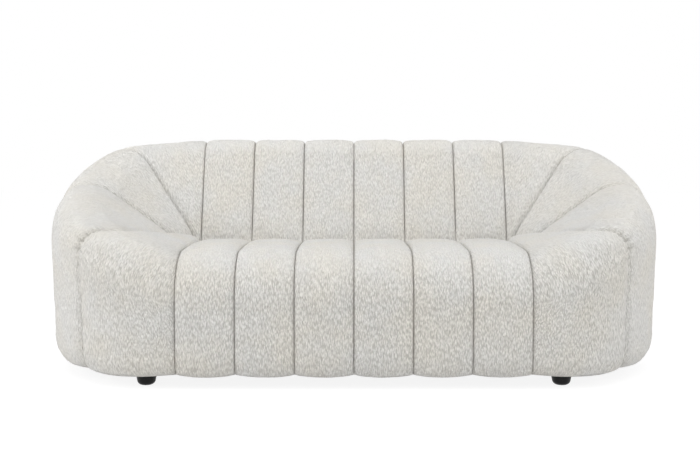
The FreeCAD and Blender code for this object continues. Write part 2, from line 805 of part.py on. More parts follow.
under = seat_lines(0.0)[3]
foam_outline = [(p.y - frame_gap, p.z - frame_gap) for p in under[1:6]]
foam_outline = foam_outline + [(p.y + frame_gap, p.z - frame_gap) for p in under[6:9]]
foam_outline = foam_outline + [(foam_outline[-1][0], felt_top), (foam_outline[0][0], felt_top)]
foam = prism(foam_outline, -last_seam_x, last_seam_x)
top_low = seat_seam_height - seat_pad - frame_gap
front_cut = (
    (last_seam_x, felt_top), (last_seam_x + 130.0, felt_top),
    (last_seam_x + 130.0, top_low + 19.0), (last_seam_x, top_low),
)
rear_cut = (
    (last_seam_x, felt_top), (last_seam_x + 55.0, felt_top),
    (last_seam_x + 55.0, top_low + 6.0), (last_seam_x, top_low),
)
wires = []
for cut, y in ((front_cut, roll_start_y + 60.0), (rear_cut, crease_y - 110.0)):
    corners = [Vector(x, y, z) for x, z in cut]
    wires.append(Part.makePolygon(corners + [corners[0]]))
end_foam = Part.makeLoft(wires, True, True)
put("seat_foam", foam.fuse([end_foam, mirrored(end_foam)]).removeSplitter())

FOOT_STEPS = 36


def polygon(x, y, z, radius, count):
    """Closed row of points around an upright axis."""
    turns = [2.0 * math.pi * (k % count) / count for k in range(count + 1)]
    return [Vector(x + radius * math.cos(t), y + radius * math.sin(t), z) for t in turns]


def turned(rings):
    """Solid of revolution with flats, through rings of points from the bottom up."""
    faces = [Part.Face(Part.makePolygon(rings[0])), Part.Face(Part.makePolygon(rings[-1]))]
    for low, high in zip(rings, rings[1:]):
        for k in range(len(low) - 1):
            faces += flat_faces(low[k], low[k + 1], high[k + 1], high[k])
    solid = Part.Solid(Part.makeShell(faces))
    if solid.Volume < 0:
        solid.reverse()
    return solid


# Feet, their hexagon head bolts and the dust cover
names = ("front_left", "front_right", "rear_left", "rear_right")
bolt_bottom = base_plate_bottom - bolt_length + plate
for name, (x, y) in zip(names, feet):
    levels = ((foot_bottom_radius - foot_edge, 0.0), (foot_bottom_radius, foot_edge))
    levels = levels + ((foot_top_radius, base_plate_bottom),)
    foot = turned([polygon(x, y, z, radius, FOOT_STEPS) for radius, z in levels])
    bolt = Part.makeCylinder(bolt_radius, base_plate_top - bolt_bottom, Vector(x, y, bolt_bottom))
    put("foot_" + name, foot.cut(bolt))
    corners = polygon(x, y, base_plate_top, bolt_radius * 2.0, 6)
    head = Part.Face(Part.makePolygon(corners)).extrude(Vector(0, 0, 5.0))
    put("foot_bolt_" + name, bolt.fuse(head).removeSplitter())

cover = slab(body_bottom, soft_to_frame + 6.0, front_to_frame + 6.0, body_bottom, base_plate_bottom)
for x, y in feet:
    cover = cover.cut(Part.makeCylinder(foot_top_radius + 2.0, 200.0, Vector(x, y, 0)))
put("dust_cover", cover)
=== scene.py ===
# %% [markdown]
# This is a round tub sofa, covered all over in a curly cream pile that is sewn into upright
# channels. The back and the arms are one padded wall on an oval plan, and the seat's channels
# roll over the front edge down to the bottom. The hidden frame of plates, ribs, belts and foam
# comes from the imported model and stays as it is. What is made here is what the eye meets: the
# cover with its seams, and the feet. A channel could be a plain pad with a bevel, but then
# every seam would look alike. So each one is drawn from its own seam lines, and its form
# changes from the high back to the low arm.

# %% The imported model
import json
import math

import bpy
import numpy as np
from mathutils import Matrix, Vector


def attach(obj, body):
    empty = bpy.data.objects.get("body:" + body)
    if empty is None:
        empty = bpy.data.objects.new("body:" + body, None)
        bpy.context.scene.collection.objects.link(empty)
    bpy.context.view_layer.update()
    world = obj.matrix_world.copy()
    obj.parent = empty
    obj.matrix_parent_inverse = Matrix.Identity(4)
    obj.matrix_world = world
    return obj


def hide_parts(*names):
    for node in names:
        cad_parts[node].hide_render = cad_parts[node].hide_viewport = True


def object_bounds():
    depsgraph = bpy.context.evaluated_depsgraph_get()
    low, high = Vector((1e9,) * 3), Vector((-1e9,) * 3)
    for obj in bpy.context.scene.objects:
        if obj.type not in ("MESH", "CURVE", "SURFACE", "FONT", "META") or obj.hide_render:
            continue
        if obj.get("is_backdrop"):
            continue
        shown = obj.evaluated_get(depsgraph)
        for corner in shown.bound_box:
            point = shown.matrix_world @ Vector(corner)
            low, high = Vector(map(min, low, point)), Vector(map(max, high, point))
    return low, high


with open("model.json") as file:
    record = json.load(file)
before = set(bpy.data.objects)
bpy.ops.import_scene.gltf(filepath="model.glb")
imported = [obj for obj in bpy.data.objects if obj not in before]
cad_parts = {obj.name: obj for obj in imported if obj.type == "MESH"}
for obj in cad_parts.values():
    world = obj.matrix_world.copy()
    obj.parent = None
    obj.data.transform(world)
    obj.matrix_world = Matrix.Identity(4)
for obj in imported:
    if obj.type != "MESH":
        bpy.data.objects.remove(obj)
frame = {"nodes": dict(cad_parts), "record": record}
size_start = [list(corner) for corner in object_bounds()]
print("nodes in the packed model:", len(frame["nodes"]))

# %% [markdown]
# The sizes are the sofa's own, in millimetres, and become metres when a mesh is made. The back,
# the arms and the seat share them, so that seams meet where the pieces meet. The straight
# channels are one pitch wide, three on each side of the middle.

# %% Sizes
# The oval plan: half sizes, length of a corner's ellipse, and where the sofa is widest
half_width, half_depth = 1075.0, 450.0
corner_length, widest_y = 475.0, 80.0
# The channels: width of a straight one, depth of the seams inside the plan, and full crowns
pitch, inset = 188.6, 10.0
back_crown, seat_crown = 12.0, 15.0
# The crease between wall and seat, and the slope of the back's inner face in degrees
crease_y, crease_height, back_slope = 150.0, 430.0, 69.0
# The top of the seat, how much lower it is at the crease, and the roll over its front
seat_height, seat_dip, roll_radius = 427.0, 8.0, 145.0
# Thickness of the pads on the seat, down its front and around the wall
seat_pad, front_pad = 55.0, 30.0
inner_pad, crest_pad, outer_pad = 45.0, 30.0, 28.0
# End of the tuck below the seat, bottom edge, and the rounding above that edge
tuck_height, bottom, round_top, front_round = 385.0, 45.0, 110.0, 28.0
# Space left between channels, and between the wall and the seat
seam_gap, crease_gap = 0.5, 1.2
last_seam = 3.0 * pitch
lean = 1.0 / math.tan(math.radians(back_slope))
front_y = inset - half_depth
print("last straight seams at x:", -last_seam, last_seam, "front seams at y:", front_y)

# %% [markdown]
# Seen from above, each corner follows two quarter ellipses that meet at the widest point. A
# seam has two plan points: one at the crease, where the wall meets the seat, and one on the
# outside. The seam called back is the last straight one, b and c fan out over the corner and
# the arm, and s runs over the arm's front. The line along the middle of a channel lies between
# its seams, out on the oval, so that the wall stays round and doesn't become a polygon.

# %% Seams in plan
def on_outline(angle, inwards):
    """Plan point on the oval, at an angle of its corner's ellipse."""
    reach = half_depth - widest_y if angle >= 0.0 else half_depth + widest_y
    a = math.radians(angle)
    n = np.array([math.cos(a) / corner_length, math.sin(a) / reach])
    centre_x = half_width - corner_length
    p = np.array([centre_x + corner_length * math.cos(a), widest_y + reach * math.sin(a)])
    return p - inwards * n / np.linalg.norm(n)


# Plan points at the crease, set from the last straight seam and from the back's crease
crease = {
    "back": np.array([last_seam, crease_y]),
    "b": np.array([last_seam + 19.2, crease_y]),
    "c": np.array([last_seam + 100.2, crease_y - 71.0]),
    "s": np.array([last_seam + 173.2, crease_y - 400.0]),
}
# On the outside, the last straight seam is at the back and the others lie around the oval
outer = {
    "back": np.array([last_seam, half_depth - inset]),
    "b": on_outline(39.6, inset),
    "c": on_outline(-5.4, inset),
    "s": on_outline(-50.6, inset),
}
between_seams = (("back_b", 70.0), ("b_c", 17.0), ("c_s", -28.0))
for name, angle in between_seams:
    first, second = name.split("_")
    crease[name] = (crease[first] + crease[second]) / 2.0
    outer[name] = on_outline(angle, back_crown)
print("outer plan points:", {name: [round(float(v)) for v in p] for name, p in outer.items()})

# %% [markdown]
# Over the wall, every line is an upright profile with the same parts: a tuck below the seat, a
# sloping inner face, an arc up to the crest, a quarter ellipse over the shoulder, the outer
# face and a rounded bottom edge. Seven values make one profile, and a middle line takes the
# mean of its two seams. Only the arm's middle has a slope and an arc of its own, because the
# mean of a slope and a nearly level line would sink between them.

# %% Profile values
# Crease height, slope of the inner face in degrees, radius and height of the crest, height where
# the shoulder ends, radius of the bottom rounding, and how far the outer face draws in
form = {
    "back": (crease_height, back_slope, 75.0, 787.0, 640.0, 35.0, 0.0),
    "b": (crease_height, 54.0, 130.0, 762.0, 600.0, 40.0, 8.0),
    "c": (450.0, 37.5, 183.0, 636.0, 455.0, 45.0, 16.0),
    "s": (487.0, 3.5, 1500.0, 491.0, 431.0, 32.0, 4.0),
}
tuck_way = {"back": np.array([0.0, -1.0]), "b": np.array([0.0, -1.0])}
for name in ("c", "s"):
    way = crease[name] - outer[name]
    tuck_way[name] = way / np.linalg.norm(way)
for name, angle in between_seams:
    first, second = name.split("_")
    form[name] = tuple((p + q) / 2.0 for p, q in zip(form[first], form[second]))
    tuck_way[name] = (tuck_way[first] + tuck_way[second]) / 2.0
form["c_s"] = form["c_s"][:1] + (24.0, 190.0) + form["c_s"][3:]
print("crest heights:", {name: values[3] for name, values in form.items()})

# %% [markdown]
# A line is more than points. Each point also has the way out of the cover, the point behind it
# where the pad ends, and the share of the full crown that the fill reaches there. Near the
# crease the cover is pulled down tight, so the share starts close to nothing and swells up.

# %% Fill along a line
tight_share = 0.03


def swelling(distance, reach=75.0):
    """Share of the full crown at a distance from a tight seam across the channel."""
    rise = 1.0 - (1.0 - np.clip(distance / reach, 0.0, 1.0)) ** 2.4
    return tight_share + (1.0 - tight_share) * rise


near = np.array([0.0, 10.0, 40.0, 75.0])
print("share of the crown 0, 10, 40 and 75 mm from the crease:", swelling(near).round(2))

# %% [markdown]
# A profile is put together part by part. A spline through a few points would be shorter, but it
# bends the straight faces and bulges at the turns. Arcs and straight lines keep each size true.

# %% Lines over the wall
def profile_line(name, steps):
    """Surface points, outward normals, points behind and crown shares along a profile."""
    zb, slope, radius, crest, shoulder, rounding, draw = form[name]
    o, i = outer[name], crease[name]
    qb = np.linalg.norm(i - o)
    u = (i - o) / qb
    a = math.radians(slope)
    z_turn = crest - radius * (1.0 - math.cos(a))
    q_turn = qb - (z_turn - zb) / math.tan(a)
    q_crest = q_turn - radius * math.sin(a)
    drop = crest - shoulder
    q, z, nq, nz, pad, share = [], [], [], [], [], []

    def add(*columns):
        for store, column in zip((q, z, nq, nz, pad, share), columns):
            store.append(np.broadcast_to(np.asarray(column, float), t.shape).copy())

    t = np.arange(steps[0]) / steps[0]
    add(qb, tuck_height + (zb - tuck_height) * t, 1.0 + (math.sin(a) - 1.0) * t, math.cos(a) * t,
        inner_pad, tight_share)
    length = math.hypot(q_turn - qb, z_turn - zb)
    t = np.arange(steps[1]) / steps[1]
    add(qb + (q_turn - qb) * t, zb + (z_turn - zb) * t, math.sin(a), math.cos(a), inner_pad,
        swelling(t * length))
    t = np.arange(steps[2]) / steps[2]
    v = a * (1.0 - t)
    add(q_crest + radius * np.sin(v), crest - radius * (1.0 - np.cos(v)), np.sin(v), np.cos(v),
        inner_pad + (crest_pad - inner_pad) * t, swelling(length + radius * a * t))
    t = np.arange(steps[3]) / steps[3]
    v = math.pi / 2.0 * t
    add(q_crest * (1.0 - np.sin(v)), shoulder + drop * np.cos(v), -np.sin(v), np.cos(v),
        crest_pad + (outer_pad - crest_pad) * t, 1.0)
    t = np.arange(steps[4]) / steps[4]
    add(draw * t, shoulder + (round_top - shoulder) * t, -1.0, 0.0, outer_pad, 1.0)
    t = np.arange(steps[5] + 1) / steps[5]
    v = math.pi / 2.0 * t
    add(draw + rounding * (1.0 - np.cos(v)), round_top - (round_top - bottom) * np.sin(v), -1.0, 0.0,
        outer_pad, 1.0 - 0.6 * t)
    q, z, nq, nz, pad, share = (np.concatenate(x) for x in (q, z, nq, nz, pad, share))
    points = np.column_stack([o[0] + u[0] * q, o[1] + u[1] * q, z])
    low = steps[0]
    deep = (zb - z[:low]) * lean
    points[:low, 0] = i[0] + tuck_way[name][0] * deep
    points[:low, 1] = i[1] + tuck_way[name][1] * deep
    normals = np.column_stack([u[0] * nq, u[1] * nq, nz])
    normals /= np.linalg.norm(normals, axis=1)[:, None]
    return points, normals, points - normals * pad[:, None], share


coarse = profile_line("back", (2, 4, 4, 6, 4, 4))[0]
print("points of a coarse profile:", len(coarse), "highest, mm:", round(float(coarse[:, 2].max())))

# %% [markdown]
# Every line of the wall is cut into the same number of steps, so that rows of points can be
# drawn from one seam to the next. A step is about four millimetres long, short enough for the
# lumps of the fill.

# %% Steps along the wall
step_length, quick_share = 4.0, 0.6
spacing = step_length
part_lengths = (55.0, 260.0, 110.0, 240.0, 420.0, 85.0)
wall_steps = [max(3, int(round(length / spacing))) for length in part_lengths]
back_line = profile_line("back", wall_steps)
print("points along the back's seam:", len(back_line[0]))

# %% [markdown]
# The seat's lines are numbered by stations: 0 at the crease, 6 where the front roll starts, 10
# where it ends, 12 at the top of the bottom rounding and 15 at its end. The sewn seat is
# fullest a little in front of its middle, and dips to the crease, so that from the front only
# the round backs of its channels show against the wall.

# %% Lines over the seat
seat_shares = (0.0, 0.09, 0.25, 0.47, 0.69, 0.86, 1.0)
# Width of the tight strip at the crease, and lift and extra fill of the seat's middle
rear_reach, middle_lift, middle_fill = 22.0, 2.0, 0.35


def seat_line(x, index):
    """The same along a seam of the seat, at station numbers from the rear to the bottom."""
    rear = crease_y - (crease_height - seat_height + seat_dip) * lean - crease_gap
    roll_y = front_y + roll_radius
    centre_z = seat_height - roll_radius
    span = rear - roll_y
    y = rear - span * np.interp(index, range(7), seat_shares)
    z = np.full_like(y, seat_height)
    v = math.pi / 2.0 * np.clip((index - 6.0) / 4.0, 0.0, 1.0)
    y = np.where(index > 6.0, roll_y - roll_radius * np.sin(v), y)
    z = np.where(index > 6.0, centre_z + roll_radius * np.cos(v), z)
    z = np.where(index > 10.0, np.interp(index, (10.0, 12.0), (centre_z, round_top)), z)
    w = math.pi / 2.0 * np.clip((index - 12.0) / 3.0, 0.0, 1.0)
    y = np.where(index > 12.0, front_y + front_round * (1.0 - np.cos(w)), y)
    z = np.where(index > 12.0, round_top - (round_top - bottom) * np.sin(w), z)
    pad = np.interp(index, (6.0, 10.0), (seat_pad, front_pad))
    share = np.interp(index, (6.0, 10.0, 12.0, 15.0), (1.0, 0.75, 0.6, 0.35))
    share = share * np.where(index < 6.0, swelling(rear - y, rear_reach), 1.0)
    ahead = np.clip((rear - y) / span, 0.0, 1.0)
    full_at = np.where(index < 6.0, 1.0 - (2.0 * ahead ** 1.3 - 1.0) ** 2, 0.0) ** 1.2
    z = z + middle_lift * full_at - seat_dip * (1.0 - ahead)
    share = share + middle_fill * full_at
    into = np.column_stack([np.zeros_like(y), np.sin(v), -np.cos(v)])
    tilt = np.clip(1.0 - index, 0.0, 1.0)[:, None]
    slope = math.radians(back_slope)
    into = into * (1.0 - tilt) + np.array([0.0, -math.cos(slope), -math.sin(slope)]) * tilt
    into /= np.linalg.norm(into, axis=1)[:, None]
    points = np.column_stack([np.full_like(y, x), y, z])
    return points, -into, points + into * pad[:, None], share


station_lengths = ((0.0, 6.0, 445.0), (6.0, 10.0, 230.0), (10.0, 12.0, 172.0))
seat_index = np.concatenate(
    [np.linspace(a, b, int(length / spacing), endpoint=False) for a, b, length in station_lengths]
    + [np.linspace(12.0, 15.0, int(80.0 / spacing))])
# The flat part's stations aren't evenly spaced, so its steps are made even again
flat = seat_index < 6.0
seam_index = seat_index.copy()
seat_index[flat] = np.interp(seat_index[flat] / 6.0, seat_shares, range(7))
print("points along a seat seam:", len(seat_index))

# %% [markdown]
# A channel is spanned between its two seam lines and the line along its middle. Over the width
# it swells on a steep curve: the cover dives almost square into each seam and stays full on
# top. The rows follow a parabola through the three lines, which keeps the wall round.

# %% Curves over the width
def through(left, middle, right, u):
    """Rows of points over the width, on the curve through three lines."""
    u = u[None, :, None]
    return (left[:, None, :] * (1.0 - u) * (1.0 - 2.0 * u) + middle[:, None, :] * 4.0 * u * (1.0 - u)
            + right[:, None, :] * u * (2.0 * u - 1.0))


def swell(u, fullness, power):
    """Height over the width from 0 at both seams to 1 in the middle."""
    return (1.0 - np.abs(2.0 * u - 1.0) ** fullness) ** power


quarter = np.array([0.05, 0.25, 0.5])
print("share of the crown at 5, 25 and 50 percent of the width:", swell(quarter, 5.0, 0.5).round(2))

# %% [markdown]
# Fibre fill is never even: under the cover lie soft lumps, from a hand's width down to a
# finger's. A displacement texture could raise them, but its noise would have to be matched on
# each mesh. Here a short hashed lattice gives the same lumps in every run, read at the place of
# each point.

# %% Lumps and lengths
def lumps(points, cell, seed):
    """Smooth random relief between -1 and 1 with a given cell size in millimetres."""
    p = points / cell + seed * 17.3
    base = np.floor(p).astype(np.int64)
    f = p - base
    f = f * f * (3.0 - 2.0 * f)
    total = 0.0
    for dx in (0, 1):
        for dy in (0, 1):
            for dz in (0, 1):
                # Large numbers mix the three cell numbers into one hash
                h = (base[..., 0] + dx) * 374761393
                h = h + (base[..., 1] + dy) * 668265263
                h = h + (base[..., 2] + dz) * 2147483647
                h = (h ^ (h >> 13)) * 1274126177
                value = ((h ^ (h >> 16)) & 0xFFFF) / 32767.5 - 1.0
                w = (f[..., 0] if dx else 1 - f[..., 0]) * (f[..., 1] if dy else 1 - f[..., 1])
                total = total + value * w * (f[..., 2] if dz else 1 - f[..., 2])
    return total


def grid_normals(grid):
    """Unit normals of a grid of points."""
    n = np.cross(np.gradient(grid, axis=0), np.gradient(grid, axis=1))
    n /= np.linalg.norm(n, axis=2)[..., None] + 1e-9
    return n


def lengths_along(points):
    """Length from the first point to each point of a line."""
    return np.concatenate([[0.0], np.cumsum(np.linalg.norm(np.diff(points, axis=0), axis=1))])


print("length of the back's seam line, mm:", round(float(lengths_along(back_line[0])[-1])))

# %% [markdown]
# Where the seam s turns over the arm's front, the cover has too much length and is gathered
# into small folds. They could be sculpted one by one, but a wave along the seam does the same,
# if its length drifts a little and it fades out within two fingers' width.

# %% Gathered folds
fold_length, fold_drift, fold_height = 24.0, 31.0, 3.2
# Distance of the folds' middle from the seam, and how far they reach to both sides of it
fold_place, fold_reach = 7.0, 15.0
# Strength of the painted shade where the folds dip
fold_shade = 0.9


def folds(right, from_seam, gathers):
    """Gathered folds beside the right seam, between -1 and 1."""
    length = lengths_along(right)
    wave = np.sin(2.0 * math.pi * length / fold_length + 1.7 * np.sin(length / fold_drift))[:, None]
    return wave * gathers[:, None] * np.exp(-((from_seam - fold_place) / fold_reach) ** 2)


print("height of the folds, mm:", fold_height, "length of one:", fold_length)

# %% [markdown]
# Now the parts of a channel's surface are laid over each other: the swell over the width, the
# groove that the thread draws along each seam, the sag of the bottom edge between the seams
# that hold it up, the folds and the lumps. The lumps die out at the seams, so that neighbours
# never cross. Lengths along and across are kept, because the pile will need them.

# %% Channel surfaces
# Cell size, height and seed of the lumps of the fill, in millimetres
fill_relief = ((70.0, 1.3, 1), (26.0, 0.9, 2), (11.0, 0.7, 3))
# Share of the groove's reach that its sharp part has, and width of a row that gets all of it
sharp_share, full_width = 0.4, 60.0
# Width of a seam's painted shade: a share of the groove's reach, and a least width
shade_share, shade_least = 0.25, 2.2
# Sag of the bottom edge, calm strip beside a seam, and shift of the pile from piece to piece
bottom_sag, calm_reach, piece_shift = 8.0, 24.0, 430.0


def groove(from_seam, reach):
    """Share of a groove's depth at a distance from its seam, soft outside and sharp inside."""
    sharp = np.exp(-from_seam / (sharp_share * reach))
    return 0.5 * np.exp(-(from_seam / reach) ** 2) + 0.5 * sharp


def channel_grid(left, middle, right, crown, fullness, power, columns, grooves, gathers=None):
    """Outer surface, surface behind it, the pile's lengths along and across, and painted shade at seams
    and folds.
    """
    t = np.linspace(0.0, 1.0, columns)
    u = 0.55 * t + 0.45 * (0.5 - 0.5 * np.cos(math.pi * t))
    base = through(left[0], middle[0], right[0], u)
    out = through(left[1], middle[1], right[1], u)
    out /= np.linalg.norm(out, axis=2)[..., None]
    rise = swell(u, fullness, power)[None, :] * middle[3][:, None]
    width = np.linalg.norm(right[0] - left[0], axis=1)[:, None]
    from_left, from_right = u[None, :] * width, (1.0 - u)[None, :] * width
    dip = 0.0
    for (depth, reach, _), from_seam in zip(grooves, (from_left, from_right)):
        depth = np.broadcast_to(np.asarray(depth, float), (len(base),))[:, None]
        dip = dip + depth * groove(from_seam, reach) * np.minimum(1.0, width / full_width)
    full = base + out * (crown * rise - dip)[..., None]
    low = np.clip((round_top - base[..., 2]) / (round_top - bottom), 0.0, 1.0)
    full[..., 2] -= bottom_sag * swell(u, 2.0, 1.0)[None, :] * low ** 2
    shade = 0.0
    if gathers is not None:
        pulled = folds(right[0], from_right, gathers)
        full = full + out * (fold_height * pulled)[..., None]
        # Painted shade in the hollows of the folds
        shade = fold_shade * np.clip(-pulled - 0.1, 0.0, 1.0)
    n = grid_normals(full)
    if np.sum(n * out) < 0.0:
        n = -n
    relief = sum(height * lumps(full, cell, seed) for cell, height, seed in fill_relief)
    clear = np.clip(np.minimum(from_left, from_right) / calm_reach, 0.0, 1.0)
    calm = clear * clear * (3.0 - 2.0 * clear) * np.minimum(1.0, middle[3] * 1.2)[:, None]
    full = full + n * (relief * calm)[..., None]
    behind = through(left[2], middle[2], right[2], np.linspace(0.0, 1.0, 7))
    steps_over = np.linalg.norm(np.diff(full, axis=1), axis=2)
    across = np.concatenate([np.zeros((len(full), 1)), np.cumsum(steps_over, axis=1)], axis=1)
    # Painted shade along each seam, strongest at the seam and fading across the channel
    for (_, reach, shade_tone), from_seam in zip(grooves, (across, across[:, -1:] - across)):
        shade = shade + shade_tone * np.exp(-(from_seam / (shade_share * reach + shade_least)) ** 2)
    across = across - across[:, -1:] / 2.0 + piece_shift * len(pieces)
    return full, behind, lengths_along(middle[0]), across, np.clip(shade, 0.0, 1.0)


pieces = {}
print("highest lump of the fill, mm:", round(sum(height for _, height, _ in fill_relief), 1))

# %% [markdown]
# The outer grid and the grid behind it become one closed mesh. Solidify could give the cover a
# back, but the pad isn't equally thick everywhere, so both sides are drawn. Strips along the
# seams and two flat ends close the piece.

# %% Faces of a piece
def grid_faces(rows, cols, backs):
    """Faces of a closed piece: outer grid, grid behind, sides and ends."""
    a = np.arange(rows * cols).reshape(rows, cols)
    b = rows * cols + np.arange(rows * backs).reshape(rows, backs)
    pairs = [(a[:, j], a[:, j + 1]) for j in range(cols - 1)]
    pairs += [(b[:, j + 1], b[:, j]) for j in range(backs - 1)]
    pairs += [(b[:, 0], a[:, 0]), (a[:, -1], b[:, -1])]
    faces = []
    for p, q in pairs:
        faces.extend(np.column_stack([p[:-1], q[:-1], q[1:], p[1:]]).tolist())
    return faces + [a[0].tolist() + b[0, ::-1].tolist(), b[-1].tolist() + a[-1, ::-1].tolist()]


print("faces of a piece of 10 rows, 9 columns and 7 behind:", len(grid_faces(10, 9, 7)))

# %% [markdown]
# A piece's UV map is in real lengths along and across the channel, so the pile keeps its size and its
# lie on every piece. Two values go with each point for the material: how much painted shade between the
# curls shows, less on the wall and on level faces, which light from above fills, and how much painted
# shade it gets in a seam or between folds.

# %% Closed pieces
# Share of the painted shade between the curls on the wall, and the shares of that painted shade and of
# the painted seam shade that a level face loses, as light from above fills it
wall_curl_shade, level_calm, level_shade_loss = 0.72, 0.68, 0.7
# Upward part of the normal at which a face starts to be level, and the span to fully level
level_from, level_span = 0.35, 0.55


def closed_piece(name, full, behind, along, across, shade, flip):
    """Closed mesh from the two grids, with the pile's UV map and attributes."""
    rows, cols = full.shape[:2]
    backs = behind.shape[1]
    points = np.concatenate([full.reshape(-1, 3), behind.reshape(-1, 3)]) / 1000.0
    if flip:
        points[:, 0] *= -1.0
    faces = grid_faces(rows, cols, backs)
    half = rows // 2
    turned = np.cross(full[half, 1] - full[half, 0], full[half + 1, 0] - full[half, 0])
    if (turned @ (full[half, 0] - behind[half, 0]) < 0.0) != flip:
        faces = [face[::-1] for face in faces]
    mesh = bpy.data.meshes.new(name)
    mesh.from_pydata(points.tolist(), [], faces)
    uv = np.zeros((len(points), 2))
    uv[:rows * cols, 0] = across.ravel()
    uv[:rows * cols, 1] = np.repeat(along, cols)
    uv[rows * cols:, 0] = np.linspace(across[:, 0], across[:, -1], backs, axis=1).ravel()
    uv[rows * cols:, 1] = np.repeat(along, backs)
    corners = np.zeros(len(mesh.loops), dtype=np.int32)
    mesh.loops.foreach_get("vertex_index", corners)
    layer = mesh.uv_layers.new(name="pile")
    layer.data.foreach_set("uv", (uv[corners] / 1000.0).astype(np.float32).ravel())
    # Level faces lose some of both painted shades, as light from above fills them
    upward = np.abs(grid_normals(full)[..., 2]).ravel()
    level = np.clip((upward - level_from) / level_span, 0.0, 1.0)
    curl_shade_share = (1.0 if "seat" in name else wall_curl_shade) * (1.0 - level_calm * level)
    for label, values in (("curl_shade_share", curl_shade_share), ("shade", shade.ravel() * (1.0 - level_shade_loss * level))):
        whole = np.ones(len(points), dtype=np.float32)
        whole[:rows * cols] = values
        mesh.attributes.new(label, "FLOAT", "POINT").data.foreach_set("value", whole)
    mesh.shade_smooth()
    piece = bpy.data.objects.new(name, mesh)
    bpy.context.scene.collection.objects.link(piece)
    return piece


# The looseness printed here is the share of painted shade between the curls
print("looseness of the pile on the wall, upright and level:", wall_curl_shade,
      round(wall_curl_shade * (1.0 - level_calm), 2))

# %% [markdown]
# Where a channel has no number there are two of it, and the left one is the right one's mirror
# image. The mirroring is done on the points, and the faces are turned with them, because a
# negative scale on the object would leave its normals pointing inwards.

# %% Channels and pairs
def add_channel(name, lines, crown, fullness, power, width, grooves, gathers=None):
    """One channel, or a right and a left one where the name has no number."""
    columns = max(9, int(round(width / spacing)))
    grids = channel_grid(*lines, crown, fullness, power, columns, grooves, gathers)
    names = [name] if name[-1].isdigit() else [name + "_right", name + "_left"]
    for each in names:
        pieces[each] = closed_piece("soft_" + each, *grids, each.endswith("_left"))


print("columns of a straight channel:", max(9, int(round(pitch / spacing))))

# %% [markdown]
# The back's six channels are the same form, one pitch apart. They are still six pieces, with
# lumps of their own, because the relief is read at each one's place.

# %% Back channels
wall_fullness, wall_power = 5.0, 0.5
# Depth and reach of a seam's groove in millimetres, and how strong its painted shade is
thin_seam = (4.5, 5.0, 0.35)


def back_seam(x):
    """The back's profile line, moved along the back."""
    shift = np.array([x - last_seam, 0.0, 0.0])
    return back_line[0] + shift, back_line[1], back_line[2] + shift, back_line[3]


def channel_sides(number):
    """Left side, middle and right side of a numbered channel, between the seam gaps."""
    x0 = -last_seam + pitch * (number - 1) + seam_gap / 2.0
    x1 = x0 + pitch - seam_gap
    return x0, (x0 + x1) / 2.0, x1


for number in range(1, 7):
    lines = [back_seam(x) for x in channel_sides(number)]
    add_channel("back_channel_%d" % number, lines, back_crown, wall_fullness, wall_power, pitch,
                (thin_seam, thin_seam))
print("back channels:", len(pieces))

# %% [markdown]
# The wall's three channels on each side share one form and are told apart by their lines. The
# arm's own channel is the widest and a little rounder over its width. Its front seam gets
# deeper on the way up to the crest, where the folds are.

# %% Corner and arm channels
arm_seam, arm_fullness = (9.0, 6.0, 1.6), 4.0
# The seam over the arm's front gets deeper along its way, so it has no single depth
# Reach of that seam's groove, and the strength of its painted shade
front_seam_reach, front_seam_shade = 13.0, 1.2


def seam_shift(name, towards):
    """Half the seam's gap, square to the seam's plane."""
    u = (crease[name] - outer[name]) / np.linalg.norm(crease[name] - outer[name])
    side = np.array([-u[1], u[0], 0.0])
    if side @ (towards - np.append(outer[name], towards[2])) < 0.0:
        side = -side
    return side * seam_gap / 2.0


def moved(lines, shift):
    """A line beside its seam."""
    return lines[0] + shift, lines[1], lines[2] + shift, lines[3]


# The width is that of the widest row, which sets the number of columns
for name, first, mid, second, width, first_seam in (
    ("back_corner_channel", "back", "back_b", "b", 330.0, thin_seam),
    ("arm_rear_channel", "b", "b_c", "c", 330.0, arm_seam),
    ("arm_channel", "c", "c_s", "s", 400.0, arm_seam),
):
    left, middle, right = (profile_line(n, wall_steps) for n in (first, mid, second))
    towards = middle[0][-1]
    lines = (moved(left, seam_shift(first, towards)), middle, moved(right, seam_shift(second, towards)))
    if name == "arm_channel":
        turn, over = sum(wall_steps[:2]), sum(wall_steps[:4])
        crest_row = turn + wall_steps[2]
        row = np.arange(len(left[0]))
        depth = np.interp(row, (turn - 1, crest_row, over), (3.0, 20.0, 20.0))
        gathers = np.interp(row, (turn, crest_row, over - 4, over + 14), (0.0, 1.0, 1.0, 0.0))
        grooves = (first_seam, (depth, front_seam_reach, front_seam_shade))
        add_channel(name, lines, back_crown, arm_fullness, wall_power, width, grooves, gathers)
    else:
        add_channel(name, lines, back_crown, wall_fullness, wall_power, width, (first_seam, arm_seam))
print("channels of the wall:", len(pieces))

# %% [markdown]
# The seat's channels carry weight, so their fill is rounder over the width than the wall's, and
# their seams are soft and shallow on top and deeper down the front.

# %% Seat channels
seat_fullness, seat_power = 3.2, 0.55
soft_seam = (np.interp(seam_index, (5.0, 9.0), (1.5, 4.0)), 9.0, 0.6)
for number in range(1, 7):
    lines = [seat_line(x, seat_index) for x in channel_sides(number)]
    add_channel("seat_channel_%d" % number, lines, seat_crown, seat_fullness, seat_power, pitch,
                (soft_seam, soft_seam))
print("channels so far:", len(pieces))

# %% [markdown]
# The wide end channel has a straight seam on one side. Its other side runs along the foot of
# the arm, and then over the arm's front on the line of seam s. So its edge is put together:
# six stations along the crease, and rows of the profile for the rest.

